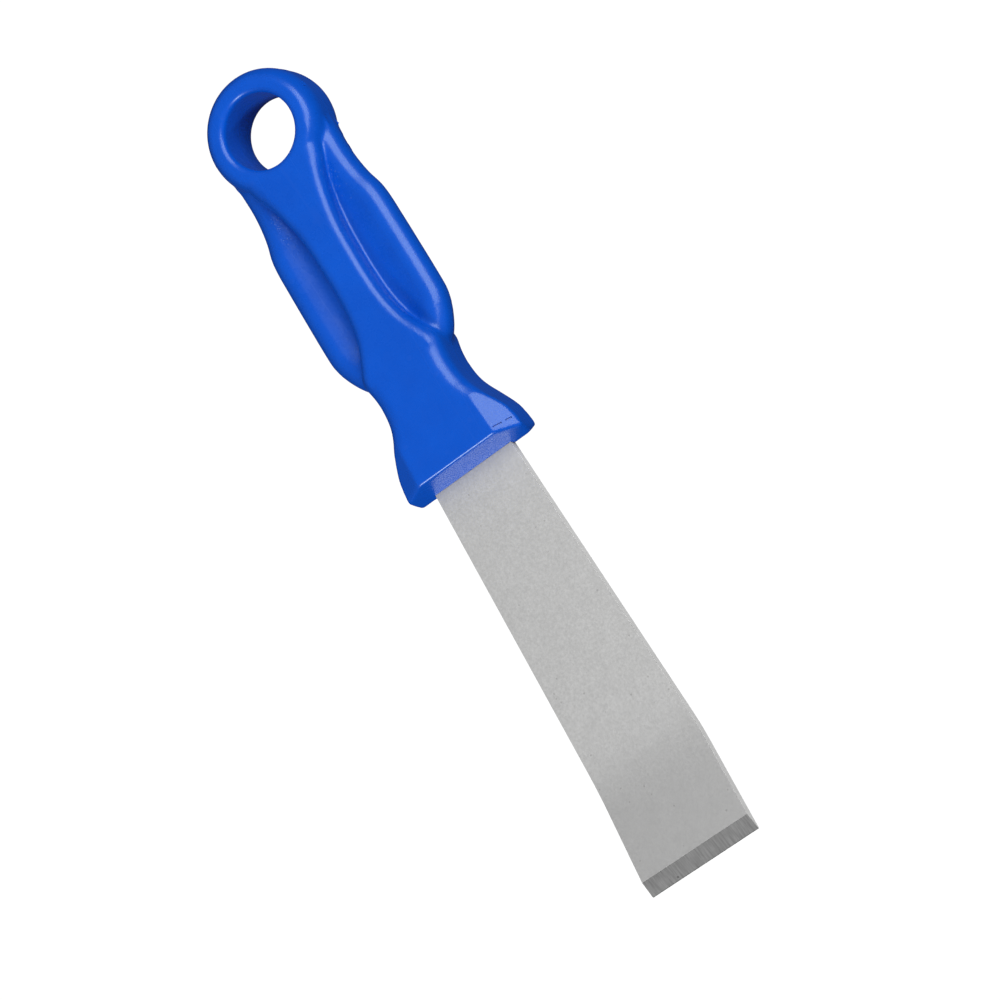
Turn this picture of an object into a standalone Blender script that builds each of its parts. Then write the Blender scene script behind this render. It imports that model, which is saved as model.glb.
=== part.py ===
"""Hive tool: a stainless blade with a bent, bevelled end, its tang moulded into a one-piece plastic handle.

The tool lies flat. +X runs along it to the cutting edge, +Z is up, and z = 0 is the handle's flat underside.
Positions along the tool are measured from the centre of the hang hole.
"""

import math

import bmesh
import bpy
from mathutils import Euler
import numpy as np

# Driving sizes of the whole tool, in metres.
LENGTH = 0.2202
RING_RADIUS = 0.0155
HALF_THICKNESS = 0.0080
MID_PLANE = HALF_THICKNESS
RING_X = RING_RADIUS - LENGTH / 2
CLEARANCE = 0.0003
OVERRUN = 0.004

# Handle: distance from the hang hole's centre, and half width there, of the full-height spine
# and of the low lobes on both its sides.
SPINE_LINE = (
    (0.0050, 0.0122), (0.0090, 0.0114), (0.0130, 0.0101), (0.0180, 0.0079), (0.0240, 0.0063),
    (0.0300, 0.0054), (0.0370, 0.0051), (0.0440, 0.0051), (0.0510, 0.0056), (0.0570, 0.0070),
    (0.0610, 0.0089), (0.0638, 0.0106), (0.0656, 0.0115), (0.0672, 0.0115), (0.0693, 0.0110),
    (0.0736, 0.0107), (0.0787, 0.0114), (0.0840, 0.0137), (0.0890, 0.0163), (0.0930, 0.0173),
)
LOBE_LINE = (
    (0.0010, 0.0140), (0.0050, 0.0148), (0.0100, 0.0148), (0.0135, 0.0147), (0.0170, 0.0149),
    (0.0200, 0.0153), (0.0225, 0.0158), (0.0260, 0.0168), (0.0295, 0.0172), (0.0340, 0.0173),
    (0.0440, 0.0174), (0.0540, 0.0174), (0.0570, 0.0172), (0.0607, 0.0163), (0.0633, 0.0153),
    (0.0652, 0.0141), (0.0668, 0.0123), (0.0680, 0.0100),
)
LOBE_HALF_THICKNESS = 0.0041
LOBE_ROUND = 0.0038
SCOOP_DEPTH = 0.0008
SCOOP_FALL = 0.0040
OUTLINE_STEP = 0.0022
SPINE_ROUND = 0.0020
RING_PLATE_RADIUS = 0.0130
RING_ROUND = 0.0044
RING_SEGMENTS = 56
RING_SINK = 0.00002
HOLE_RADIUS = 0.0093
HOLE_LIP = 0.0012
ARC_STEPS = 5

# Bolster: the handle's flared front end, with sloping flanks and a blunt nose.
BOLSTER_HALF_WIDTH = 0.0174
BOLSTER_CORNER = 0.0024
BOLSTER_FRONT = 0.09745
FLANK_START = (0.0820, 0.0108)
FLANK_END = (0.0943, 0.0116)
FLANK_SLOPE = math.radians(32.8)
FLANK_CUTTER = (0.030, 0.040, 0.020)
NOSE_X = 0.09715
NOSE_SLOPE = math.radians(20.5)
NOSE_ROUND = 0.0008
NOSE_ROUND_STEPS = 3

# Blade: a plate of even thickness that widens to its end, with a single bevel on top.
BLADE_THICKNESS = 0.0025
MOUTH_X = 0.0967
MOUTH_HALF_WIDTH = 0.01162
BEND_X = 0.17686
BEND_HALF_WIDTH = 0.0148
BEND_ANGLE = math.radians(10.3)
BEND_ARC = 0.0060
BEND_STEPS = 6
TIP_HALF_WIDTH = 0.01545
BEVEL_LENGTH = 0.0037
EDGE_LAND = 0.0004

# Tang: the hidden part of the blade, with two holes that plastic keys fill.
SHOULDER_X = 0.0885
SHOULDER_ROUND = 0.0020
TANG_HALF_WIDTH = 0.0060
TANG_END_X = 0.0240
TANG_HOLE_RADIUS = 0.0030
TANG_HOLES_X = (0.0380, 0.0700)
TANG_HOLE_SEGMENTS = 24

PLASTIC_BLUE = (0.007, 0.065, 0.49, 1.0)
STEEL_GREY = (0.50, 0.50, 0.49, 1.0)


def clear_scene():
    """Removes the start-up scene's objects and makes one collection for the tool and one for its cutters."""
    for old in list(bpy.data.objects):
        bpy.data.objects.remove(old)
    made = []
    for name in ("hive_tool", "cutters"):
        collection = bpy.data.collections.new(name)
        bpy.context.scene.collection.children.link(collection)
        made.append(collection)
    made[1].hide_render = True
    return made


def principled(name, color, roughness, metallic):
    material = bpy.data.materials.new(name)
    material.use_nodes = True
    shader = material.node_tree.nodes["Principled BSDF"]
    shader.inputs["Base Color"].default_value = color
    shader.inputs["Roughness"].default_value = roughness
    shader.inputs["Metallic"].default_value = metallic
    material.diffuse_color = color
    return material


def line_through(stations, step):
    """Points along a smooth line through the stations, by cubic Hermite pieces with central slopes."""
    x, y = np.array(stations).T
    slope = np.gradient(y, x)
    points = []
    for i in range(len(x) - 1):
        span = x[i + 1] - x[i]
        count = max(1, round(span / step))
        for k in range(count):
            t = k / count
            value = (
                (1 + 2 * t) * (1 - t) ** 2 * y[i]
                + t * (1 - t) ** 2 * span * slope[i]
                + t * t * (3 - 2 * t) * y[i + 1]
                + t * t * (t - 1) * span * slope[i + 1]
            )
            points.append((x[i] + t * span, value))
    points.append((x[-1], y[-1]))
    return points


def mirrored(side):
    """A closed outline from the points of its +Y side."""
    return [(x, -y) for x, y in side] + [(x, y) for x, y in reversed(side)]


def corner_arc(x, y, radius, steps=4):
    """Points round a convex corner at (x, y), from the +Y side to the front."""
    turn = [math.pi / 2 * (1 - i / steps) for i in range(steps + 1)]
    return [(x - radius + radius * math.cos(a), y - radius + radius * math.sin(a)) for a in turn]


def plate(name, outline, half_thickness, rounding, collection, z=MID_PLANE, rounds=2):
    """A flat outline made a solid with round edges: a filled curve, extruded both ways, then a mesh."""
    curve = bpy.data.curves.new(name, "CURVE")
    curve.dimensions = "2D"
    curve.fill_mode = "BOTH"
    curve.extrude = half_thickness - rounding
    curve.bevel_depth = rounding
    curve.bevel_resolution = rounds
    curve.offset = -rounding
    spline = curve.splines.new("POLY")
    spline.points.add(len(outline) - 1)
    for point, (x, y) in zip(spline.points, outline):
        point.co = (x + RING_X, y, 0.0, 1.0)
    spline.use_cyclic_u = True
    guide = bpy.data.objects.new(name + "_guide", curve)
    bpy.context.scene.collection.objects.link(guide)
    bpy.context.view_layer.update()
    graph = bpy.context.evaluated_depsgraph_get()
    mesh = bpy.data.meshes.new_from_object(guide.evaluated_get(graph))
    bpy.data.objects.remove(guide)
    bm = bmesh.new()
    bm.from_mesh(mesh)
    bmesh.ops.remove_doubles(bm, verts=bm.verts, dist=0.00001)
    bmesh.ops.translate(bm, verts=bm.verts, vec=(0.0, 0.0, z))
    bmesh.ops.recalc_face_normals(bm, faces=bm.faces)
    bm.to_mesh(mesh)
    bm.free()
    return link(name, mesh, collection)


def link(name, mesh, collection):
    made = bpy.data.objects.new(name, mesh)
    mesh.name = name
    collection.objects.link(made)
    return made


def box(name, size, collection, up=1):
    """A box that stands on its origin, or hangs from it, with the origin half way along one lower edge."""
    mesh = bpy.data.meshes.new(name)
    bm = bmesh.new()
    bmesh.ops.create_cube(bm, size=1.0)
    bmesh.ops.translate(bm, verts=bm.verts, vec=(0.5, 0.0, 0.5 * up))
    bmesh.ops.scale(bm, verts=bm.verts, vec=size)
    bm.to_mesh(mesh)
    bm.free()
    return link(name, mesh, collection)


def drawn_across(name, profile, half_width, collection):
    """A side profile of (x, height over the mid-plane) points, drawn out across the tool."""
    bm = bmesh.new()
    face = bm.faces.new([bm.verts.new((RING_X + x, -half_width, MID_PLANE + z)) for x, z in profile])
    drawn = bmesh.ops.extrude_face_region(bm, geom=[face])
    new = [item for item in drawn["geom"] if isinstance(item, bmesh.types.BMVert)]
    bmesh.ops.translate(bm, verts=new, vec=(0.0, 2 * half_width, 0.0))
    bmesh.ops.recalc_face_normals(bm, faces=bm.faces)
    mesh = bpy.data.meshes.new(name)
    bm.to_mesh(mesh)
    bm.free()
    return link(name, mesh, collection)


def turned(name, profile, segments, collection):
    """A solid turned about +Z from (radius, height) points, top to bottom."""
    mesh = bpy.data.meshes.new(name)
    bm = bmesh.new()
    points = [bm.verts.new((radius, 0.0, height)) for radius, height in profile]
    for start, end in zip(points, points[1:]):
        bm.edges.new((start, end))
    bm.to_mesh(mesh)
    bm.free()
    made = link(name, mesh, collection)
    screw = made.modifiers.new("turn", "SCREW")
    screw.axis = "Z"
    screw.steps = segments
    screw.render_steps = segments
    screw.use_merge_vertices = True
    screw.merge_threshold = 0.00001
    return made


def helper(made):
    made.hide_render = True
    made.display_type = "WIRE"
    return made


def boolean(target, other, operation):
    cut = target.modifiers.new(f"{operation.lower()} {other.name}", "BOOLEAN")
    cut.operation = operation
    cut.object = other
    cut.solver = "EXACT"


def quarter(steps=ARC_STEPS):
    """Turns from 0 to a right angle."""
    return [math.pi / 2 * i / steps for i in range(steps + 1)]


def lobe_section(half_width):
    """One upright section through both lobes: a rounded rim each side, and a floor dished below it."""
    quadrant = []
    for turn in quarter():
        around = half_width - LOBE_ROUND * (1 - math.cos(turn))
        quadrant.append((around, LOBE_HALF_THICKNESS * math.sin(turn)))
    crest = half_width - LOBE_ROUND
    quadrant.append((crest - SCOOP_FALL / 2, LOBE_HALF_THICKNESS - SCOOP_DEPTH * 0.6))
    quadrant.append((crest - SCOOP_FALL, LOBE_HALF_THICKNESS - SCOOP_DEPTH))
    upper = quadrant + [(-across, up) for across, up in reversed(quadrant)]
    return upper + [(across, -up) for across, up in reversed(upper[1:-1])]


def make_lobes(cutters):
    """The low lobes with their scoops: upright sections along the handle, each bridged to the next."""
    bm = bmesh.new()
    rings = []
    for x, half_width in line_through(LOBE_LINE, OUTLINE_STEP):
        corners = [bm.verts.new((RING_X + x, y, MID_PLANE + z)) for y, z in lobe_section(half_width)]
        rings.append([bm.edges.new(pair) for pair in zip(corners, corners[1:] + corners[:1])])
    for rear, front in zip(rings, rings[1:]):
        bmesh.ops.bridge_loops(bm, edges=rear + front)
    for end in (rings[0], rings[-1]):
        bmesh.ops.edgeloop_fill(bm, edges=end)
    bmesh.ops.recalc_face_normals(bm, faces=bm.faces)
    mesh = bpy.data.meshes.new("lobes")
    bm.to_mesh(mesh)
    bm.free()
    return link("lobes", mesh, cutters)


def make_handle_body(parts, cutters):
    """The full-height spine and bolster, joined to the rounded ring and to the low lobes."""
    start_turn = math.atan2(SPINE_LINE[0][1], SPINE_LINE[0][0])
    turns = [math.pi + (start_turn - math.pi) * i / RING_SEGMENTS * 2 for i in range(RING_SEGMENTS // 2)]
    side = [(RING_PLATE_RADIUS * math.cos(a), RING_PLATE_RADIUS * math.sin(a)) for a in turns[1:]]
    side += line_through(SPINE_LINE, OUTLINE_STEP)
    side += corner_arc(BOLSTER_FRONT, BOLSTER_HALF_WIDTH, BOLSTER_CORNER)
    outline = [(-RING_PLATE_RADIUS, 0.0)] + mirrored(side)
    body = plate("handle", outline, HALF_THICKNESS, SPINE_ROUND, parts)

    middle = HALF_THICKNESS - RING_ROUND
    rim = RING_RADIUS - RING_ROUND
    arc = [(rim + RING_ROUND * math.sin(a), middle + RING_ROUND * math.cos(a)) for a in quarter()]
    top = [(radius, min(height, HALF_THICKNESS - RING_SINK)) for radius, height in arc]
    profile = [(0.0, HALF_THICKNESS - RING_SINK)] + top
    profile += [(radius, -height) for radius, height in reversed(profile)]
    ring = turned("ring", profile, RING_SEGMENTS, cutters)
    ring.location = (RING_X, 0.0, MID_PLANE)
    boolean(body, helper(ring), "UNION")
    boolean(body, helper(make_lobes(cutters)), "UNION")
    return body


def shape_bolster(body, cutters):
    """The four sloping flanks, each planed off by a box, and the blunt nose with its rounded edges."""
    run = FLANK_END[0] - FLANK_START[0]
    lean = math.atan2(FLANK_END[1] - FLANK_START[1], run)
    for side in (-1, 1):
        for level in (-1, 1):
            plane = box(f"flank_{side}_{level}", FLANK_CUTTER, cutters, up=level)
            plane.rotation_euler = Euler((-side * level * FLANK_SLOPE, 0.0, side * lean), "XYZ")
            height = MID_PLANE + level * HALF_THICKNESS
            plane.location = (RING_X + FLANK_START[0], side * FLANK_START[1], height)
            boolean(body, helper(plane), "DIFFERENCE")
    tall = HALF_THICKNESS + OVERRUN
    front = NOSE_X + 2 * OVERRUN
    centre = HALF_THICKNESS - NOSE_ROUND
    back = NOSE_X - (centre * math.sin(NOSE_SLOPE) + NOSE_ROUND) / math.cos(NOSE_SLOPE)
    upper = []
    for step in range(NOSE_ROUND_STEPS + 1):
        turn = NOSE_SLOPE + (math.pi / 2 - NOSE_SLOPE) * step / NOSE_ROUND_STEPS
        upper.append((back + NOSE_ROUND * math.cos(turn), centre + NOSE_ROUND * math.sin(turn)))
    upper += [(back, tall), (front, tall)]
    profile = [(NOSE_X, 0.0)] + upper + [(x, -z) for x, z in reversed(upper)]
    nose = drawn_across("nose", profile, BOLSTER_HALF_WIDTH + OVERRUN, cutters)
    boolean(body, helper(nose), "DIFFERENCE")


def cut_hang_hole(body, cutters):
    """The hang hole, whose wall opens out in a rounded lip at both faces."""
    low = HALF_THICKNESS - HOLE_LIP
    top = [(HOLE_RADIUS + HOLE_LIP * (1 - math.cos(a)), low + HOLE_LIP * math.sin(a)) for a in quarter()]
    wide = top[-1][0]
    upper = [(0.0, HALF_THICKNESS + OVERRUN), (wide, HALF_THICKNESS + OVERRUN)] + top[::-1]
    profile = upper + [(radius, -height) for radius, height in reversed(upper)]
    hole = turned("hang_hole", profile, RING_SEGMENTS, cutters)
    hole.location = (RING_X, 0.0, MID_PLANE)
    boolean(body, helper(hole), "DIFFERENCE")


def tang_outline(grow, end_x):
    """The plan of the tang and of the blade's root, grown by a clearance, out to end_x."""
    half = TANG_HALF_WIDTH + grow
    rear = TANG_END_X - grow
    flare = (BEND_HALF_WIDTH - MOUTH_HALF_WIDTH) / (BEND_X - MOUTH_X)
    side = [(rear + half * (1 - math.cos(a)) / 2, half * math.sin(a)) for a in quarter()[1:]]
    shoulder = SHOULDER_X - grow
    start = shoulder - SHOULDER_ROUND
    fillet = []
    for turn in quarter():
        inward = SHOULDER_ROUND * (1 - math.cos(turn))
        fillet.append((start + SHOULDER_ROUND * math.sin(turn), half + inward))
    root = MOUTH_HALF_WIDTH + (shoulder - MOUTH_X) * flare + grow
    tip = MOUTH_HALF_WIDTH + (end_x - MOUTH_X) * flare + grow
    side += fillet + [(shoulder, root), (end_x, tip)]
    return [(rear, 0.0)] + mirrored(side)


def tang_bars(name, radius, half_height, cutters):
    """Round bars on the tang holes' axes."""
    bars = []
    for number, x in enumerate(TANG_HOLES_X):
        bar = turned(
            f"{name}_{number}",
            [(0.0, half_height), (radius, half_height), (radius, -half_height), (0.0, -half_height)],
            TANG_HOLE_SEGMENTS,
            cutters,
        )
        bar.location = (RING_X + x, 0.0, MID_PLANE)
        bars.append(helper(bar))
    return bars


def cut_tang_pocket(body, cutters):
    """The pocket that the moulding leaves round the tang, crossed by the two keys that fill its holes."""
    half = BLADE_THICKNESS / 2 + CLEARANCE
    pocket = plate("tang_pocket", tang_outline(CLEARANCE, NOSE_X + OVERRUN), half, 0.0, cutters)
    for key in tang_bars("key", TANG_HOLE_RADIUS - CLEARANCE, half + OVERRUN, cutters):
        boolean(pocket, key, "DIFFERENCE")
    boolean(body, helper(pocket), "DIFFERENCE")


def blade_side_profile():
    """The blade from the side: straight, bent upwards on an arc, then bevelled on top to a blunt edge."""
    radius = BEND_ARC / BEND_ANGLE
    arc_start = BEND_X - radius * math.tan(BEND_ANGLE / 2)
    tip_x = LENGTH - RING_RADIUS - BLADE_THICKNESS * math.sin(BEND_ANGLE)
    half = BLADE_THICKNESS / 2

    def at(run, offset):
        """A point a run past the arc's start along the top face, at an offset below that face."""
        turn = min(max(run / radius, 0.0), BEND_ANGLE)
        x = arc_start + min(run, 0.0) + radius * math.sin(turn)
        z = half + radius * (1 - math.cos(turn))
        past = max(run - BEND_ARC, 0.0)
        x += past * math.cos(turn) + offset * math.sin(turn)
        return x, z + past * math.sin(turn) - offset * math.cos(turn)

    reach = BEND_ARC + (tip_x - at(BEND_ARC, 0.0)[0]) / math.cos(BEND_ANGLE)
    root = TANG_END_X - OVERRUN - arc_start
    runs = [root] + [BEND_ARC * i / BEND_STEPS for i in range(BEND_STEPS + 1)]
    top = [at(run, 0.0) for run in runs] + [at(reach - BEVEL_LENGTH, 0.0)]
    edge = [at(reach, BLADE_THICKNESS - EDGE_LAND), at(reach, BLADE_THICKNESS)]
    bottom = [at(run, BLADE_THICKNESS) for run in reversed(runs)]
    return top + edge + bottom


def make_blade(parts, cutters):
    """The side profile drawn out across the tool, then trimmed to its plan and pierced for the keys."""
    blade = drawn_across("blade", blade_side_profile(), 2 * BEND_HALF_WIDTH, parts)
    front = LENGTH - RING_RADIUS + OVERRUN
    outline = tang_outline(0.0, BEND_X)
    flare = (TIP_HALF_WIDTH - BEND_HALF_WIDTH) / (LENGTH - RING_RADIUS - BEND_X)
    wide = BEND_HALF_WIDTH + flare * (front - BEND_X)
    middle = outline.index((BEND_X, BEND_HALF_WIDTH))
    outline[middle:middle] = [(front, -wide), (front, wide)]
    plan = plate("blade_plan", outline, 2 * HALF_THICKNESS, 0.0, cutters)
    boolean(blade, helper(plan), "INTERSECT")
    for hole in tang_bars("tang_hole", TANG_HOLE_RADIUS, BLADE_THICKNESS + OVERRUN, cutters):
        boolean(blade, hole, "DIFFERENCE")
    return blade


def main():
    parts, cutters = clear_scene()
    handle = make_handle_body(parts, cutters)
    shape_bolster(handle, cutters)
    cut_hang_hole(handle, cutters)
    cut_tang_pocket(handle, cutters)
    blade = make_blade(parts, cutters)
    handle.data.materials.append(principled("handle_plastic", PLASTIC_BLUE, 0.28, 0.0))
    blade.data.materials.append(principled("blade_steel", STEEL_GREY, 0.38, 1.0))
    for made in (handle, blade):
        made.data.shade_smooth()
        made.data.set_sharp_from_angle(angle=math.radians(35))


main()
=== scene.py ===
import math

import bmesh
import bpy
from mathutils import Euler, Matrix, Vector


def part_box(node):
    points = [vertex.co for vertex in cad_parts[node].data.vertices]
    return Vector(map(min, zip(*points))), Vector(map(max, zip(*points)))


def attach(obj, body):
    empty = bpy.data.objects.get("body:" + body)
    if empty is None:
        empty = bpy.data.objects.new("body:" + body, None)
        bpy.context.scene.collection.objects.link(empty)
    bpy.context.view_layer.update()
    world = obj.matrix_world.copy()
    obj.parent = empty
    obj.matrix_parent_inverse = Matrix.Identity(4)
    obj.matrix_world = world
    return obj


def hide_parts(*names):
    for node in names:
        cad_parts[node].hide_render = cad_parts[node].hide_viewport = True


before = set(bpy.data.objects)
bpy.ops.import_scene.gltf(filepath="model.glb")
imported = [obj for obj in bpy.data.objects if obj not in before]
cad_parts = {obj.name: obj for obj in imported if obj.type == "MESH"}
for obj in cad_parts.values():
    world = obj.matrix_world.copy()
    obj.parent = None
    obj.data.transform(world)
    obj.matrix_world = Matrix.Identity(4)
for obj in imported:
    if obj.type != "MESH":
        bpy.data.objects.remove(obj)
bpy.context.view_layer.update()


# ---- Studio ---------------------------------------------------------------------------------
# A white table, a large softbox beyond the tool's +Y side and a small one past its tip, in a dim
# pale room. The table is lit from below, so it stays white, and the tool reflects little of it.

grip_low, grip_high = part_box("handle")
RING_RADIUS = 0.0155
HOLE = Vector((grip_low.x + RING_RADIUS, 0.0, (grip_low.z + grip_high.z) / 2))

CAMERA_FROM_HOLE = Vector((0.3020, 0.3224, 0.8615))
CAMERA_TURN = (-0.8366, 23.5681, 56.5410)
CAMERA_LENS = 143.963
CAMERA_SENSOR = 36.0
WHITE = (1.0, 1.0, 1.0, 1.0)
ROOM_SHEEN = 0.12
ROOM_GLOW = 0.34
TABLE_WHITE = 1.05
TABLE_DIM = 0.04
TABLE_DROP = 0.0002
TABLE_HALF_WIDTH = 3.0


def node(tree, kind, **values):
    """A node of this kind, with each named input or setting given its value or a link."""
    made = tree.nodes.new(kind)
    for key, value in values.items():
        if hasattr(made, key) and key not in made.inputs:
            setattr(made, key, value)
            continue
        name = key.replace("_", " ")
        socket = made.inputs[name] if name in made.inputs else made.inputs[int(key[1:])]
        if isinstance(value, bpy.types.NodeSocket):
            tree.links.new(value, socket)
        else:
            socket.default_value = value
    return made


def softbox(name, towards, distance, size, watts):
    """A square area light that shines at the hang hole from the given direction."""
    data = bpy.data.lights.new(name, "AREA")
    data.size = size
    data.energy = watts
    lamp = bpy.data.objects.new(name, data)
    back = Vector(towards).normalized()
    lamp.location = HOLE + back * distance
    lamp.rotation_euler = back.to_track_quat("Z", "Y").to_euler()
    bpy.context.scene.collection.objects.link(lamp)


softbox("side_softbox", (-0.20, 0.68, 0.71), 0.66, 0.56, 4.6)
softbox("end_softbox", (0.79, -0.315, 0.53), 1.60, 0.34, 12.5)

camera_data = bpy.data.cameras.new("camera")
camera_data.sensor_width = CAMERA_SENSOR
camera_data.lens = CAMERA_LENS
camera_data.clip_start = 0.01
camera_data.clip_end = 20.0
camera = bpy.data.objects.new("camera", camera_data)
camera.location = HOLE + CAMERA_FROM_HOLE
camera.rotation_euler = [math.radians(a) for a in CAMERA_TURN]
bpy.context.scene.collection.objects.link(camera)
bpy.context.scene.camera = camera
bpy.context.scene.view_settings.view_transform = "Standard"

room = bpy.data.worlds.new("room")
room.use_nodes = True
tree = room.node_tree
tree.nodes.clear()
seen = node(tree, "ShaderNodeBackground", Color=WHITE, Strength=1.0)
sheen = node(tree, "ShaderNodeBackground", Color=WHITE, Strength=ROOM_SHEEN)
glow = node(tree, "ShaderNodeBackground", Color=WHITE, Strength=ROOM_GLOW)
path = node(tree, "ShaderNodeLightPath")
unseen = node(
    tree, "ShaderNodeMixShader",
    _0=path.outputs["Is Diffuse Ray"], _1=sheen.outputs[0], _2=glow.outputs[0],
)
either = node(
    tree, "ShaderNodeMixShader",
    _0=path.outputs["Is Camera Ray"], _1=unseen.outputs[0], _2=seen.outputs[0],
)
node(tree, "ShaderNodeOutputWorld", Surface=either.outputs[0])
bpy.context.scene.world = room

bm = bmesh.new()
bmesh.ops.create_grid(bm, x_segments=1, y_segments=1, size=TABLE_HALF_WIDTH)
table_mesh = bpy.data.meshes.new("table")
bm.to_mesh(table_mesh)
bm.free()
table = bpy.data.objects.new("table", table_mesh)
table.location.z = -TABLE_DROP
bpy.context.scene.collection.objects.link(table)
paper = bpy.data.materials.new("white_table")
paper.use_nodes = True
tree = paper.node_tree
tree.nodes.clear()
white = node(tree, "ShaderNodeEmission", Color=WHITE, Strength=TABLE_WHITE)
dim = node(tree, "ShaderNodeEmission", Color=WHITE, Strength=TABLE_DIM)
path = node(tree, "ShaderNodeLightPath")
either = node(
    tree, "ShaderNodeMixShader",
    _0=path.outputs["Is Camera Ray"], _1=dim.outputs[0], _2=white.outputs[0],
)
node(tree, "ShaderNodeOutputMaterial", Surface=either.outputs[0])
table_mesh.materials.append(paper)


# ---- Blade ----------------------------------------------------------------------------------
# One bar of stainless strip, sheared to a long taper, its end bent up and ground to a bevel.
# Behind two shoulders it narrows to a tang with two holes, which the handle is moulded round.

BLADE_THICKNESS = 0.0025
BLADE_MOUTH = (0.0967, 0.01162)
BLADE_BEND = (0.17686, 0.0148)
BLADE_TIP = (0.2047, 0.01545)
BEND_ANGLE = math.radians(10.3)
BEND_RUN = 0.0100
BEND_STEPS = 14
GROUND_LENGTH = 0.0037
GROUND_LAND = 0.0004
SHOULDER_AT = 0.0885
SHOULDER_ROUND = 0.002
TANG_HALF_WIDTH = 0.006
TANG_END = 0.024
TANG_HOLE = 0.003
TANG_HOLES_AT = (0.038, 0.070)
EDGE_ROUND = 0.00045
MOUTH_CHAMFER = 0.0004
BLADE_OVERHANG = 0.004
CUTTER_REACH = 0.03
DRILL_REACH = 0.01
PLAN_FROM = -0.02
PLAN_HEIGHT = 0.05


def add(name, bm):
    """The bmesh as an object in the scene, with its normals turned outwards."""
    bmesh.ops.recalc_face_normals(bm, faces=bm.faces)
    mesh = bpy.data.meshes.new(name)
    bm.to_mesh(mesh)
    bm.free()
    made = bpy.data.objects.new(name, mesh)
    bpy.context.scene.collection.objects.link(made)
    return made


def prism(bm, corners, along):
    """A flat face through the corners, pulled along a vector into a closed solid."""
    face = bm.faces.new([bm.verts.new(corner) for corner in corners])
    pulled = bmesh.ops.extrude_face_region(bm, geom=[face], use_keep_orig=True)
    moved = [item for item in pulled["geom"] if isinstance(item, bmesh.types.BMVert)]
    bmesh.ops.translate(bm, verts=moved, vec=along)


def cut(piece, tool, operation="DIFFERENCE"):
    """Applies a Boolean of the tool to the piece, and removes the tool."""
    modifier = piece.modifiers.new("cut", "BOOLEAN")
    modifier.operation = operation
    modifier.solver = "MANIFOLD"
    modifier.object = tool
    apply_all(piece)
    bpy.data.objects.remove(tool)


def apply_all(piece):
    """Puts the result of the piece's modifiers in its mesh."""
    graph = bpy.context.evaluated_depsgraph_get()
    shaped = bpy.data.meshes.new_from_object(piece.evaluated_get(graph))
    piece.modifiers.clear()
    piece.data = shaped


def quarter(steps):
    return [math.pi / 2 * i / steps for i in range(steps + 1)]


def mirrored(side):
    """Both sides of a plan outline, from its +Y side, as closed corners round it."""
    return side + [(x, -y) for x, y in reversed(side) if y > 0]


def at(points, height=0.0):
    """Plan points measured from the hang hole's centre, in the row's frame."""
    return [HOLE + Vector((x, y, height)) for x, y in points]


def tang_plan(grow, front):
    """The tang's outline, from its round end to its shoulders, grown all round."""
    half = TANG_HALF_WIDTH + grow
    rear = TANG_END - grow
    side = [(rear, 0.0)]
    side += [(rear + half * (1 - math.cos(a)) / 2, half * math.sin(a)) for a in quarter(8)[1:]]
    start = SHOULDER_AT - grow - SHOULDER_ROUND
    for turn in quarter(6):
        inward = SHOULDER_ROUND * (1 - math.cos(turn))
        side.append((start + SHOULDER_ROUND * math.sin(turn), half + inward))
    side.append((SHOULDER_AT - grow, BLADE_MOUTH[1] + grow - MOUTH_CHAMFER))
    side.append((SHOULDER_AT - grow + MOUTH_CHAMFER, BLADE_MOUTH[1] + grow))
    side.append((front, BLADE_MOUTH[1] + grow))
    return side


def bar(x, radius, half_height):
    """An upright round bar through the middle of the tang."""
    bm = bmesh.new()
    where = Matrix.Translation(HOLE + Vector((x, 0.0, 0.0)))
    bmesh.ops.create_cone(
        bm, cap_ends=True, segments=40,
        radius1=radius, radius2=radius, depth=2 * half_height, matrix=where,
    )
    return add("bar", bm)


half = BLADE_THICKNESS / 2
reach = BLADE_TIP[0]
bend_at = BLADE_BEND[0]
lower, upper = [(TANG_END, -half)], [(TANG_END, half)]
bend_radius = BEND_RUN / BEND_ANGLE
centre_x = bend_at - BEND_RUN / 2
for step in range(BEND_STEPS + 1):
    turn = BEND_ANGLE * step / BEND_STEPS
    for face_line, radius in ((lower, bend_radius + half), (upper, bend_radius - half)):
        face_line.append((centre_x + radius * math.sin(turn), bend_radius - radius * math.cos(turn)))
tip = Vector((reach, (reach - bend_at) * math.tan(BEND_ANGLE)))
run = Vector((math.cos(BEND_ANGLE), math.sin(BEND_ANGLE)))
rise = Vector((-run.y, run.x))
foot = tip - rise * half
foot += run * ((reach - foot.x) / run.x)
lower.append(tuple(foot))
upper.append(tuple(foot + rise * BLADE_THICKNESS - run * GROUND_LENGTH))
upper.append(tuple(foot + rise * GROUND_LAND))

bm = bmesh.new()
corners = [HOLE + Vector((x, -CUTTER_REACH, z)) for x, z in lower + upper[::-1]]
prism(bm, corners, (0.0, 2 * CUTTER_REACH, 0.0))
blade = add("blade_steel", bm)

flare = (BLADE_TIP[1] - BLADE_BEND[1]) / (reach - bend_at)
edge = tang_plan(0.0, BLADE_MOUTH[0])
edge.append(BLADE_BEND)
edge.append((reach + BLADE_OVERHANG, BLADE_TIP[1] + BLADE_OVERHANG * flare))
bm = bmesh.new()
prism(bm, at(mirrored(edge), PLAN_FROM), (0.0, 0.0, PLAN_HEIGHT))
cut(blade, add("blade_plan", bm), "INTERSECT")
for x in TANG_HOLES_AT:
    cut(blade, bar(x, TANG_HOLE, DRILL_REACH))

blade.data.shade_smooth()
blade.data.set_sharp_from_angle(angle=math.radians(22))
rounding = blade.modifiers.new("edges", "BEVEL")
rounding.width = EDGE_ROUND
rounding.segments = 3
rounding.limit_method = "ANGLE"
rounding.angle_limit = math.radians(28)
rounding.harden_normals = True
apply_all(blade)

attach(blade, "root")
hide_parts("blade")


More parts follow.
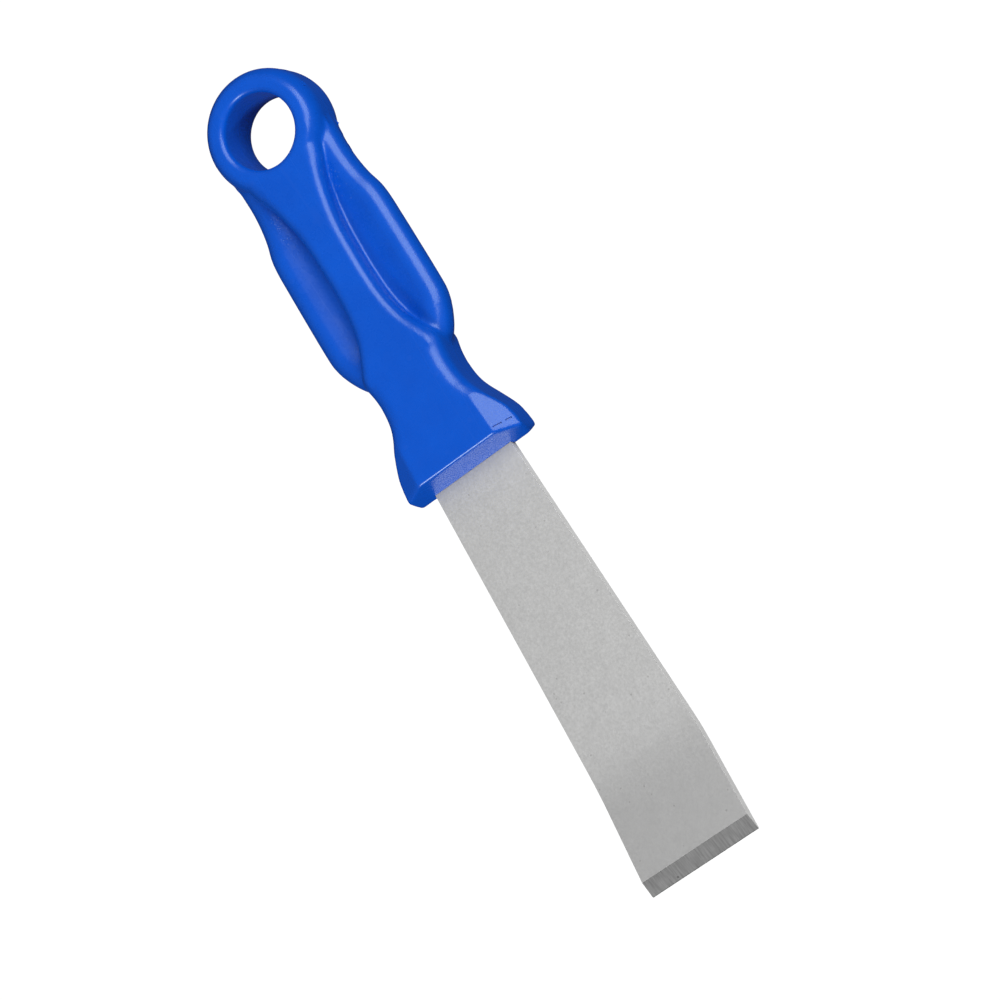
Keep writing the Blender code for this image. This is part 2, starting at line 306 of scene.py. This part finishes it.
def effect(name, inputs, outputs):
    """An empty shader node group with these inputs and outputs, and its two end nodes."""
    made = bpy.data.node_groups.new(name, "ShaderNodeTree")
    for title, kind in inputs:
        made.interface.new_socket(name=title, in_out="INPUT", socket_type=kind)
    for title, kind in outputs:
        made.interface.new_socket(name=title, in_out="OUTPUT", socket_type=kind)
    return made, made.nodes.new("NodeGroupInput"), made.nodes.new("NodeGroupOutput")


# Mottling: soft blotches of about the given size, from 0 to 1 around a middle of 0.5.
mottling, given, put = effect(
    "mottling",
    [("Vector", "NodeSocketVector"), ("Size", "NodeSocketFloat")],
    [("Value", "NodeSocketFloat")],
)
per_size = node(mottling, "ShaderNodeMath", operation="DIVIDE", _0=1.0, _1=given.outputs["Size"])
blotch = node(
    mottling, "ShaderNodeTexNoise", Vector=given.outputs["Vector"], Scale=per_size.outputs[0],
    Detail=3.0, Roughness=0.6,
)
mottling.links.new(blotch.outputs["Fac"], put.inputs["Value"])

# Specks: small round pits, one in some of the cells of the given size.
specks, given, put = effect(
    "specks",
    [("Vector", "NodeSocketVector"), ("Size", "NodeSocketFloat"), ("Share", "NodeSocketFloat")],
    [("Mask", "NodeSocketFloat")],
)
per_size = node(specks, "ShaderNodeMath", operation="DIVIDE", _0=1.0, _1=given.outputs["Size"])
cell = node(
    specks, "ShaderNodeTexVoronoi", Vector=given.outputs["Vector"], Scale=per_size.outputs[0]
)
near = node(
    specks, "ShaderNodeMapRange", interpolation_type="SMOOTHSTEP",
    Value=cell.outputs["Distance"], From_Min=0.10, From_Max=0.26, To_Min=1.0, To_Max=0.0,
)
lot = node(specks, "ShaderNodeSeparateColor", Color=cell.outputs["Color"])
chosen = node(
    specks, "ShaderNodeMath", operation="LESS_THAN", _0=lot.outputs[0], _1=given.outputs["Share"]
)
mask = node(
    specks, "ShaderNodeMath", operation="MULTIPLY", _0=near.outputs[0], _1=chosen.outputs[0]
)
specks.links.new(mask.outputs[0], put.inputs["Mask"])

# Scuffs: hairline scratches that run roughly along X, where a stretched noise crosses a level.
scuffs, given, put = effect(
    "scuffs",
    [("Vector", "NodeSocketVector"), ("Size", "NodeSocketFloat")],
    [("Mask", "NodeSocketFloat")],
)
per_size = node(scuffs, "ShaderNodeMath", operation="DIVIDE", _0=1.0, _1=given.outputs["Size"])
drawn = node(
    scuffs, "ShaderNodeMapping", Vector=given.outputs["Vector"],
    Rotation=(0.0, 0.0, 0.35), Scale=(0.06, 1.0, 1.0),
)
field = node(
    scuffs, "ShaderNodeTexNoise", Vector=drawn.outputs[0], Scale=per_size.outputs[0],
    Detail=2.0, Distortion=0.2,
)
away = node(scuffs, "ShaderNodeMath", operation="SUBTRACT", _0=field.outputs["Fac"], _1=0.62)
off = node(scuffs, "ShaderNodeMath", operation="ABSOLUTE", _0=away.outputs[0])
line = node(
    scuffs, "ShaderNodeMapRange", Value=off.outputs[0],
    From_Min=0.0, From_Max=0.012, To_Min=1.0, To_Max=0.0,
)
scuffs.links.new(line.outputs[0], put.inputs["Mask"])


def blend(tree, share, low, high):
    """A colour between two others."""
    mixed = node(tree, "ShaderNodeMix", data_type="RGBA", _0=share)
    for socket, value in ((mixed.inputs[6], low), (mixed.inputs[7], high)):
        if isinstance(value, bpy.types.NodeSocket):
            tree.links.new(value, socket)
        else:
            socket.default_value = (*value, 1.0)
    return mixed.outputs[2]


def spread(tree, value, low, high):
    """A value from 0 to 1 stretched between two others."""
    stretched = node(
        tree, "ShaderNodeMapRange", Value=value, From_Min=0.25, From_Max=0.75, To_Min=low, To_Max=high
    )
    return stretched.outputs[0]


def relief(tree, height, depth, under=None):
    """A bump as deep as stated, in metres, on top of another."""
    made = node(tree, "ShaderNodeBump", Height=height, Distance=depth, Strength=1.0)
    if under is not None:
        tree.links.new(under, made.inputs["Normal"])
    return made.outputs[0]


# The flat faces: satin stainless with a faint grey mottling, sparse pits and a few hairlines.
# The end that was pressed up is painted a shade darker, as painted shade for its tilted face.
BEND_SHADE_FROM = 0.164
BEND_SHADE_UNTIL = 0.186
SATIN_DARK = (0.755, 0.755, 0.75)
SATIN_LIGHT = (0.825, 0.825, 0.82)
SATIN_CLOUD = (0.70, 0.70, 0.695)
SATIN_BEND_SHADE = (0.50, 0.50, 0.50)
SATIN_PIT = (0.30, 0.29, 0.28)

steel = bpy.data.materials.new("satin_stainless")
steel.use_nodes = True
tree = steel.node_tree
metal = tree.nodes["Principled BSDF"]
metal.inputs["Metallic"].default_value = 0.72
place = node(tree, "ShaderNodeTexCoord").outputs["Object"]
grain = node(tree, "ShaderNodeGroup", node_tree=mottling, Vector=place, Size=0.0006).outputs[0]
cloud = node(tree, "ShaderNodeGroup", node_tree=mottling, Vector=place, Size=0.005).outputs[0]
pits = node(
    tree, "ShaderNodeGroup", node_tree=specks, Vector=place, Size=0.0013, Share=0.05
).outputs[0]
hairs = node(tree, "ShaderNodeGroup", node_tree=scuffs, Vector=place, Size=0.0090).outputs[0]
tone = blend(tree, spread(tree, grain, 0.0, 1.0), SATIN_DARK, SATIN_LIGHT)
tone = blend(tree, spread(tree, cloud, 0.0, 0.45), tone, SATIN_CLOUD)
station = node(tree, "ShaderNodeSeparateXYZ", Vector=place)
# Painted shade: the tone darkens along X over the bend, towards the bent-up end.
bend_shade = node(
    tree, "ShaderNodeMapRange", interpolation_type="SMOOTHSTEP", Value=station.outputs["X"],
    From_Min=HOLE.x + BEND_SHADE_FROM, From_Max=HOLE.x + BEND_SHADE_UNTIL, To_Min=0.0, To_Max=0.35,
)
tone = blend(tree, bend_shade.outputs[0], tone, SATIN_BEND_SHADE)
pitted = node(tree, "ShaderNodeMath", operation="MULTIPLY", _0=pits, _1=0.35).outputs[0]
tone = blend(tree, pitted, tone, SATIN_PIT)
tree.links.new(tone, metal.inputs["Base Color"])
tree.links.new(spread(tree, grain, 0.50, 0.60), metal.inputs["Roughness"])
under = relief(tree, grain, 0.000006)
under = relief(tree, hairs, -0.000002, under)
tree.links.new(relief(tree, pits, -0.000012, under), metal.inputs["Normal"])

# The ground bevel: painted darker than the flat faces, as painted shade, with streaks straight off
# the wheel, uneven patches and a few fine pits.
# Painted shade: these bevel tones are all set dark to stand in for the dim light the bevel reflects.
GROUND_DARK = (0.11, 0.11, 0.11)
GROUND_LIGHT = (0.21, 0.21, 0.21)
GROUND_PATCH = (0.10, 0.10, 0.10)
GROUND_PIT = (0.03, 0.03, 0.03)

ground = bpy.data.materials.new("ground_stainless")
ground.use_nodes = True
tree = ground.node_tree
metal = tree.nodes["Principled BSDF"]
metal.inputs["Metallic"].default_value = 0.80
place = node(tree, "ShaderNodeTexCoord").outputs["Object"]
pulled = node(tree, "ShaderNodeMapping", Vector=place, Scale=(0.10, 1.0, 0.10)).outputs[0]
streak = node(tree, "ShaderNodeGroup", node_tree=mottling, Vector=pulled, Size=0.00045).outputs[0]
patch = node(tree, "ShaderNodeGroup", node_tree=mottling, Vector=place, Size=0.0030).outputs[0]
pits = node(
    tree, "ShaderNodeGroup", node_tree=specks, Vector=place, Size=0.0012, Share=0.06
).outputs[0]
tone = blend(tree, spread(tree, streak, 0.0, 1.0), GROUND_DARK, GROUND_LIGHT)
tone = blend(tree, spread(tree, patch, 0.0, 0.5), tone, GROUND_PATCH)
tone = blend(tree, pits, tone, GROUND_PIT)
tree.links.new(tone, metal.inputs["Base Color"])
tree.links.new(spread(tree, streak, 0.34, 0.46), metal.inputs["Roughness"])
tree.links.new(relief(tree, streak, 0.000008), metal.inputs["Normal"])

# The sheared and tumbled side walls are painted near white, a painted reflection of the white table,
# with short upright drag marks from the shear. A face belongs to the bevel or to a side wall by the
# way it points.
GROUND_FACING = 0.12
GROUND_MARGIN = 0.0004
SHEARED_FACING = 0.55
# Painted reflection: both wall tones are near white to stand in for the table the walls mirror.
SHEARED_REFLECTION_DARK = (0.86, 0.86, 0.85)
SHEARED_REFLECTION_LIGHT = (0.97, 0.97, 0.97)

sheared = bpy.data.materials.new("sheared_stainless_painted_reflection")
sheared.use_nodes = True
tree = sheared.node_tree
metal = tree.nodes["Principled BSDF"]
metal.inputs["Metallic"].default_value = 0.10
place = node(tree, "ShaderNodeTexCoord").outputs["Object"]
pulled = node(tree, "ShaderNodeMapping", Vector=place, Scale=(1.0, 0.3, 0.2)).outputs[0]
streak = node(tree, "ShaderNodeGroup", node_tree=mottling, Vector=pulled, Size=0.0005).outputs[0]
tone = blend(tree, spread(tree, streak, 0.0, 1.0), SHEARED_REFLECTION_DARK, SHEARED_REFLECTION_LIGHT)
tree.links.new(tone, metal.inputs["Base Color"])
tree.links.new(spread(tree, streak, 0.42, 0.56), metal.inputs["Roughness"])
tree.links.new(relief(tree, streak, 0.000008), metal.inputs["Normal"])

blade.data.materials.clear()
for material in (steel, ground, sheared):
    blade.data.materials.append(material)
ground_from = HOLE.x + reach - GROUND_LENGTH * math.cos(BEND_ANGLE) - GROUND_MARGIN
for face in blade.data.polygons:
    if face.center.x > ground_from and face.normal.x > GROUND_FACING:
        face.material_index = 1
    elif abs(face.normal.y) > SHEARED_FACING and face.center.x > HOLE.x + BLADE_MOUTH[0]:
        face.material_index = 2


# ---- Handle ---------------------------------------------------------------------------------
# One glossy moulding in blue plastic: a hang ring, a full-height spine with a low scooped lobe
# on each side for the fingers, a waist, and a bolster whose flanks and nose slope off.

SPINE_LINE = (
    (0.0050, 0.0122), (0.0090, 0.0114), (0.0130, 0.0101), (0.0180, 0.0079), (0.0240, 0.0063),
    (0.0300, 0.0054), (0.0370, 0.0051), (0.0440, 0.0051), (0.0510, 0.0056), (0.0570, 0.0070),
    (0.0610, 0.0089), (0.0638, 0.0106), (0.0656, 0.0115), (0.0672, 0.0115), (0.0693, 0.0110),
    (0.0736, 0.0107), (0.0787, 0.0114), (0.0840, 0.0137), (0.0890, 0.0163), (0.0930, 0.0173),
)
LOBE_LINE = (
    (0.0010, 0.0140), (0.0050, 0.0148), (0.0100, 0.0148), (0.0135, 0.0147), (0.0170, 0.0149),
    (0.0200, 0.0153), (0.0225, 0.0158), (0.0260, 0.0168), (0.0295, 0.0172), (0.0340, 0.0173),
    (0.0440, 0.0174), (0.0540, 0.0174), (0.0570, 0.0172), (0.0607, 0.0162), (0.0633, 0.0150),
    (0.0655, 0.0137), (0.0676, 0.0120), (0.0695, 0.0098),
)
OUTLINE_STEP = 0.0010
HALF_THICKNESS = 0.0080
NECK_ROUND = 0.0036
SPINE_ROUND = 0.0025
WAIST_ROUND = 0.0040
NECK_UNTIL = 0.019
NECK_FADE = 0.008
BOLSTER_ROUND = 0.0020
WAIST_FROM = 0.060
WAIST_UNTIL = 0.080
WAIST_FADE = 0.006
LOBE_HALF_THICKNESS = 0.0041
LOBE_ROUND = 0.0038
SCOOP_STEPS = ((0.0010, 0.00012), (0.0016, 0.00048), (0.0018, 0.00056), (0.0014, 0.00036))
RING_PLATE = 0.0130
RING_CREST = 0.01218
RING_SHOULDER = 0.0022
RING_SIDE = 0.0070
RING_TURN = math.radians(50)
HOLE_RADIUS = 0.0093
HOLE_LIP = 0.0016
HOLE_CUTTER_TOP = 0.02
TURNED_STEPS = 96
BOLSTER_FRONT = 0.09745
BOLSTER_HALF_WIDTH = 0.0174
BOLSTER_CORNER = 0.0022
FLANK_START = (0.0820, 0.0108)
FLANK_END = (0.0943, 0.0116)
FLANK_SLOPE = math.radians(32.8)
FLANK_CUTTER = (0.030, 0.040, 0.020)
NOSE_AT = 0.09715
NOSE_SLOPE = math.radians(20.5)
NOSE_ROUND = 0.0008
NOSE_CLEARANCE = 0.01
VOXEL = 0.00034
SMOOTHING = 5
SOFTER = (
    (0.0915, 0.0990, 0.0000, 6),
    (0.0800, 0.0915, 0.0000, 5),
    (0.0000, 0.0130, 0.0115, 14),
    (0.0600, 0.0735, 0.0080, 16),
)
SEAM_HEIGHT = 0.00006
SEAM_REACH = 0.00034
GROOVE_AT = 0.0926
GROOVE_WIDTH = 0.00042
GROOVE_DEPTH = 0.00040
GROOVE_RUNS = ((0.0120, 0.0140), (0.0149, 0.0163))
GROOVE_PROUD = 0.001
GATE_AT = (math.radians(104), 0.01490, 0.0044)
GATE_RADII = (0.0010, 0.0008)
GATE_HEIGHT = 0.0008
GATE_TILT = math.radians(74)
MOUTH_GAP = 0.00018
MOUTH_FRONT = 0.11
MOUTH_OVERLAP = 0.001
POCKET_GAP = 0.0003
POCKET_OVERLAP = 0.002
KEY_REACH = 0.006
SHARP_FROM = math.radians(40)


def smooth_line(points, step):
    """Points about a step apart on a smooth curve through the given points, which run along X."""
    slopes = []
    for i in range(len(points)):
        before, after = points[max(i - 1, 0)], points[min(i + 1, len(points) - 1)]
        slopes.append((after[1] - before[1]) / (after[0] - before[0]))
    line = [points[0]]
    for i in range(len(points) - 1):
        (x0, y0), (x1, y1) = points[i], points[i + 1]
        span = x1 - x0
        count = max(1, round(math.hypot(span, y1 - y0) / step))
        for j in range(1, count + 1):
            t = j / count
            bend_in = t * (1 - t) ** 2 * span * slopes[i]
            bend_out = t * t * (t - 1) * span * slopes[i + 1]
            between = y0 + (3 * t * t - 2 * t ** 3) * (y1 - y0)
            line.append((x0 + span * t, between + bend_in + bend_out))
    return line


def rounded_plate(name, outline, half_height, segments, radius_at):
    """A plate about the middle plane. Its rims are rounded to the radius given for each station."""
    bm = bmesh.new()
    weight = bm.edges.layers.float.new("bevel_weight_edge")
    prism(bm, at(outline, -half_height), (0.0, 0.0, 2 * half_height))
    rims = [edge for edge in bm.edges if abs(edge.verts[0].co.z - edge.verts[1].co.z) < 1e-6]
    largest = max(radius_at(x / 1000) for x in range(-15, 100))
    for edge in rims:
        edge[weight] = radius_at((edge.verts[0].co.x + edge.verts[1].co.x) / 2 - HOLE.x) / largest
    plate = add(name, bm)
    rounding = plate.modifiers.new("rims", "BEVEL")
    rounding.limit_method = "WEIGHT"
    rounding.width = largest
    rounding.segments = segments
    rounding.use_clamp_overlap = False
    apply_all(plate)
    return plate


def turned(name, profile):
    """A solid turned about the hang hole's axis, from the upper half of its profile."""
    profile = profile + [(radius, -height) for radius, height in reversed(profile)]
    bm = bmesh.new()
    chain = [bm.verts.new(HOLE + Vector((radius, 0.0, height))) for radius, height in profile]
    edges = [bm.edges.new(pair) for pair in zip(chain, chain[1:])]
    bmesh.ops.spin(
        bm, geom=chain + edges, cent=HOLE, axis=(0, 0, 1), angle=2 * math.pi,
        steps=TURNED_STEPS, use_merge=True,
    )
    bmesh.ops.remove_doubles(bm, verts=bm.verts, dist=1e-6)
    return add(name, bm)


def spine_round(x):
    """The spine's rim is rounder at the neck and along the waist than elsewhere."""
    neck = min(max((NECK_UNTIL - x) / NECK_FADE, 0.0), 1.0)
    into = min(max((x - WAIST_FROM) / WAIST_FADE, 0.0), 1.0)
    out = min(max((x - WAIST_UNTIL) / WAIST_FADE, 0.0), 1.0)
    waist = (WAIST_ROUND - SPINE_ROUND) * into - (WAIST_ROUND - BOLSTER_ROUND) * out
    return SPINE_ROUND + (NECK_ROUND - SPINE_ROUND) * neck + waist


start = math.atan2(SPINE_LINE[0][1], SPINE_LINE[0][0])
turns = [math.pi + (start - math.pi) * i / 36 for i in range(36)]
side = [(RING_PLATE * math.cos(a), RING_PLATE * math.sin(a)) for a in turns[1:]]
side += smooth_line(SPINE_LINE, OUTLINE_STEP)
for turn in quarter(6):
    front = BOLSTER_FRONT - BOLSTER_CORNER * (1 - math.sin(turn))
    side.append((front, BOLSTER_HALF_WIDTH - BOLSTER_CORNER * (1 - math.cos(turn))))
outline = [(-RING_PLATE, 0.0)] + mirrored(side)
handle = rounded_plate("handle_moulding", outline, HALF_THICKNESS, 7, spine_round)

side = smooth_line(LOBE_LINE, OUTLINE_STEP)
lobes = rounded_plate("lobes", mirrored(side), LOBE_HALF_THICKNESS, 8, lambda x: LOBE_ROUND)
bm = bmesh.new()
bm.from_mesh(lobes.data)
flats = [face for face in bm.faces if len(face.verts) > 8]
for inward, fall in SCOOP_STEPS:
    bmesh.ops.inset_region(bm, faces=flats, thickness=inward, depth=-fall)
bm.to_mesh(lobes.data)
bm.free()

profile = [(0.0, HALF_THICKNESS)]
for step in range(7):
    turn = RING_TURN * step / 6
    down = RING_SHOULDER * (1 - math.cos(turn))
    profile.append((RING_CREST + RING_SHOULDER * math.sin(turn), HALF_THICKNESS - down))
base = profile[-1]
for step in range(1, 9):
    turn = RING_TURN + (math.pi / 2 - RING_TURN) * step / 8
    out = RING_SIDE * (math.sin(turn) - math.sin(RING_TURN))
    down = RING_SIDE * (math.cos(RING_TURN) - math.cos(turn))
    profile.append((base[0] + out, base[1] - down))
ring = turned("ring", profile)

low = HALF_THICKNESS - HOLE_LIP
profile = [(0.0, HOLE_CUTTER_TOP), (HOLE_RADIUS + HOLE_LIP, HOLE_CUTTER_TOP)]
for turn in quarter(8):
    radius = HOLE_RADIUS + HOLE_LIP * (1 - math.sin(turn))
    profile.append((radius, low + HOLE_LIP * math.cos(turn)))
hang_hole = turned("hang_hole", profile)

cut(handle, lobes, "UNION")
cut(handle, ring, "UNION")
for across in (-1, 1):
    for level in (-1, 1):
        bm = bmesh.new()
        bmesh.ops.create_cube(bm, size=1.0)
        bmesh.ops.translate(bm, verts=bm.verts, vec=(0.0, 0.5 * across, 0.5 * level))
        bmesh.ops.scale(bm, verts=bm.verts, vec=FLANK_CUTTER)
        run = Vector((FLANK_END[0] - FLANK_START[0], across * (FLANK_END[1] - FLANK_START[1])))
        heading = math.atan2(run.y, run.x)
        turn = Euler((-across * level * FLANK_SLOPE, 0.0, heading), "XYZ")
        bmesh.ops.rotate(bm, verts=bm.verts, cent=(0, 0, 0), matrix=turn.to_matrix())
        corner = HOLE + Vector((FLANK_START[0], across * FLANK_START[1], level * HALF_THICKNESS))
        bmesh.ops.translate(bm, verts=bm.verts, vec=corner)
        cut(handle, add("flank", bm))
for level in (-1, 1):
    bm = bmesh.new()
    centre = HALF_THICKNESS - NOSE_ROUND
    back = NOSE_AT - (centre * math.sin(NOSE_SLOPE) + NOSE_ROUND) / math.cos(NOSE_SLOPE)
    wedge = [(NOSE_AT, 0.0)]
    for step in range(7):
        turn = NOSE_SLOPE + (math.pi / 2 - NOSE_SLOPE) * step / 6
        wedge.append((back + NOSE_ROUND * math.cos(turn), centre + NOSE_ROUND * math.sin(turn)))
    top, front = HALF_THICKNESS * 1.5, NOSE_AT + NOSE_CLEARANCE
    wedge += [(back, top), (front, top), (front, 0.0)]
    corners = [HOLE + Vector((x, -CUTTER_REACH, level * z)) for x, z in wedge]
    prism(bm, corners, (0.0, 2 * CUTTER_REACH, 0.0))
    cut(handle, add("nose", bm))
cut(handle, hang_hole)

remesh = handle.modifiers.new("flow", "REMESH")
remesh.mode = "VOXEL"
remesh.voxel_size = VOXEL
apply_all(handle)
bm = bmesh.new()
bm.from_mesh(handle.data)
zones = [(bm.verts, SMOOTHING)]
for rear, front, beyond, rounds in SOFTER:
    inside = [
        vert for vert in bm.verts
        if rear < vert.co.x - HOLE.x < front and abs(vert.co.y) >= beyond
    ]
    zones.append((inside, rounds))
for verts, rounds in zones:
    for _ in range(rounds):
        bmesh.ops.smooth_vert(
            bm, verts=verts, factor=0.5, use_axis_x=True, use_axis_y=True, use_axis_z=True
        )
bm.normal_update()
for vert in bm.verts:
    level = abs(vert.co.z - HOLE.z)
    if level < SEAM_REACH and abs(vert.normal.z) < 0.5:
        vert.co += vert.normal * SEAM_HEIGHT * (1 - level / SEAM_REACH)
    limits = zip(vert.co, grip_low, grip_high)
    vert.co = [min(max(value, low), high) for value, low, high in limits]
bm.to_mesh(handle.data)
bm.free()

# A mould insert leaves a broken hairline groove across one upper flank, and the gate leaves a
# small stub.
bm = bmesh.new()
flank_run = FLANK_END[0] - FLANK_START[0]
flank_rise = FLANK_END[1] - FLANK_START[1]
flank_line = FLANK_START[1] + flank_rise * (GROOVE_AT - FLANK_START[0]) / flank_run
for begin, end in GROOVE_RUNS:
    fall = [HALF_THICKNESS - (y - flank_line) * math.tan(FLANK_SLOPE) for y in (begin, end)]
    corners = (
        (begin, fall[0] - GROOVE_DEPTH), (end, fall[1] - GROOVE_DEPTH),
        (end, fall[1] + GROOVE_PROUD), (begin, fall[0] + GROOVE_PROUD),
    )
    prism(bm, [HOLE + Vector((GROOVE_AT, y, z)) for y, z in corners], (GROOVE_WIDTH, 0.0, 0.0))
cut(handle, add("grooves", bm))
bm = bmesh.new()
around, out, up = GATE_AT
bmesh.ops.create_cone(
    bm, cap_ends=True, segments=24,
    radius1=GATE_RADII[0], radius2=GATE_RADII[1], depth=GATE_HEIGHT,
)
end_face = [face for face in bm.faces if face.normal.z > 0.9]
bmesh.ops.inset_region(bm, faces=end_face, thickness=0.0004, depth=-0.00018)
for angle, axis in ((GATE_TILT, "Y"), (around, "Z")):
    turn = Matrix.Rotation(angle, 3, axis)
    bmesh.ops.rotate(bm, verts=bm.verts, cent=(0, 0, 0), matrix=turn)
gate = HOLE + Vector((out * math.cos(around), out * math.sin(around), up))
bmesh.ops.translate(bm, verts=bm.verts, vec=gate)
cut(handle, add("gate_stub", bm), "UNION")

bm = bmesh.new()
pocket_half = BLADE_THICKNESS / 2 + POCKET_GAP
plan = mirrored(tang_plan(POCKET_GAP, SHOULDER_AT + POCKET_OVERLAP))
prism(bm, at(plan, -pocket_half), (0.0, 0.0, 2 * pocket_half))
pocket = add("tang_pocket", bm)
for x in TANG_HOLES_AT:
    cut(pocket, bar(x, TANG_HOLE - POCKET_GAP, KEY_REACH))
cut(handle, pocket)
bm = bmesh.new()
mouth_half = BLADE_THICKNESS / 2 + MOUTH_GAP
mouth_side = BLADE_MOUTH[1] + MOUTH_GAP
mouth_back = SHOULDER_AT + MOUTH_OVERLAP
corners = (
    (mouth_back, -mouth_side), (MOUTH_FRONT, -mouth_side),
    (MOUTH_FRONT, mouth_side), (mouth_back, mouth_side),
)
prism(bm, at(corners, -mouth_half), (0.0, 0.0, 2 * mouth_half))
cut(handle, add("mouth", bm))
handle.data.shade_smooth()
handle.data.set_sharp_from_angle(angle=SHARP_FROM)

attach(handle, "root")
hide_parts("handle")

# Glossy polypropylene blue: a faint orange peel, a fine grain, dull specks and handling scuffs,
# and a patch of coarse mould texture at the rear of each scoop.
PATCH_CENTRE = (0.0210, 0.0092)
PATCH_REACH = (0.0085, 0.0021)
BLUE_DARK = (0.0008, 0.072, 0.50)
BLUE_LIGHT = (0.0010, 0.084, 0.56)
BLUE_GRAIN = (0.0008, 0.068, 0.47)
BLUE_WORN = (0.14, 0.24, 0.60)

plastic = bpy.data.materials.new("blue_moulding")
plastic.use_nodes = True
tree = plastic.node_tree
shell = tree.nodes["Principled BSDF"]
shell.inputs["Specular IOR Level"].default_value = 0.44
shell.inputs["Specular Tint"].default_value = (0.82, 1.0, 1.0, 1.0)
place = node(tree, "ShaderNodeTexCoord").outputs["Object"]
peel = node(tree, "ShaderNodeGroup", node_tree=mottling, Vector=place, Size=0.0022).outputs[0]
grain = node(tree, "ShaderNodeGroup", node_tree=mottling, Vector=place, Size=0.00035).outputs[0]
cloud = node(tree, "ShaderNodeGroup", node_tree=mottling, Vector=place, Size=0.010).outputs[0]
dull = node(
    tree, "ShaderNodeGroup", node_tree=specks, Vector=place, Size=0.0034, Share=0.14
).outputs[0]
hairs = node(tree, "ShaderNodeGroup", node_tree=scuffs, Vector=place, Size=0.0075).outputs[0]

axes = node(tree, "ShaderNodeSeparateXYZ", Vector=place)
along = node(
    tree, "ShaderNodeMath", operation="SUBTRACT",
    _0=axes.outputs["X"], _1=HOLE.x + PATCH_CENTRE[0],
)
along = node(tree, "ShaderNodeMath", operation="DIVIDE", _0=along.outputs[0], _1=PATCH_REACH[0])
side = node(tree, "ShaderNodeMath", operation="ABSOLUTE", _0=axes.outputs["Y"])
side = node(tree, "ShaderNodeMath", operation="SUBTRACT", _0=side.outputs[0], _1=PATCH_CENTRE[1])
side = node(tree, "ShaderNodeMath", operation="DIVIDE", _0=side.outputs[0], _1=PATCH_REACH[1])
spot = node(tree, "ShaderNodeCombineXYZ", X=along.outputs[0], Y=side.outputs[0])
far = node(tree, "ShaderNodeVectorMath", operation="LENGTH", _0=spot.outputs[0])
patch = node(
    tree, "ShaderNodeMapRange", interpolation_type="SMOOTHSTEP",
    Value=far.outputs["Value"], From_Min=0.55, From_Max=1.1, To_Min=1.0, To_Max=0.0,
)
coarse = node(
    tree, "ShaderNodeGroup", node_tree=specks, Vector=place, Size=0.00075, Share=0.55
).outputs[0]
textured = node(
    tree, "ShaderNodeMath", operation="MULTIPLY", _0=coarse, _1=patch.outputs[0]
).outputs[0]

tone = blend(tree, spread(tree, cloud, 0.0, 1.0), BLUE_DARK, BLUE_LIGHT)
tone = blend(tree, spread(tree, grain, 0.0, 0.25), tone, BLUE_GRAIN)
worn = node(tree, "ShaderNodeMath", operation="MULTIPLY", _0=textured, _1=0.50).outputs[0]
tone = blend(tree, worn, tone, BLUE_WORN)
tree.links.new(tone, shell.inputs["Base Color"])
rough = spread(tree, peel, 0.24, 0.31)
for marks in (dull, hairs, textured):
    rough = node(
        tree, "ShaderNodeMath", operation="MULTIPLY_ADD", _0=marks, _1=0.10, _2=rough
    ).outputs[0]
tree.links.new(rough, shell.inputs["Roughness"])
under = relief(tree, peel, 0.000016)
under = relief(tree, grain, 0.0000016, under)
under = relief(tree, hairs, -0.0000015, under)
tree.links.new(relief(tree, textured, 0.00003, under), shell.inputs["Normal"])
handle.data.materials.clear()
handle.data.materials.append(plastic)
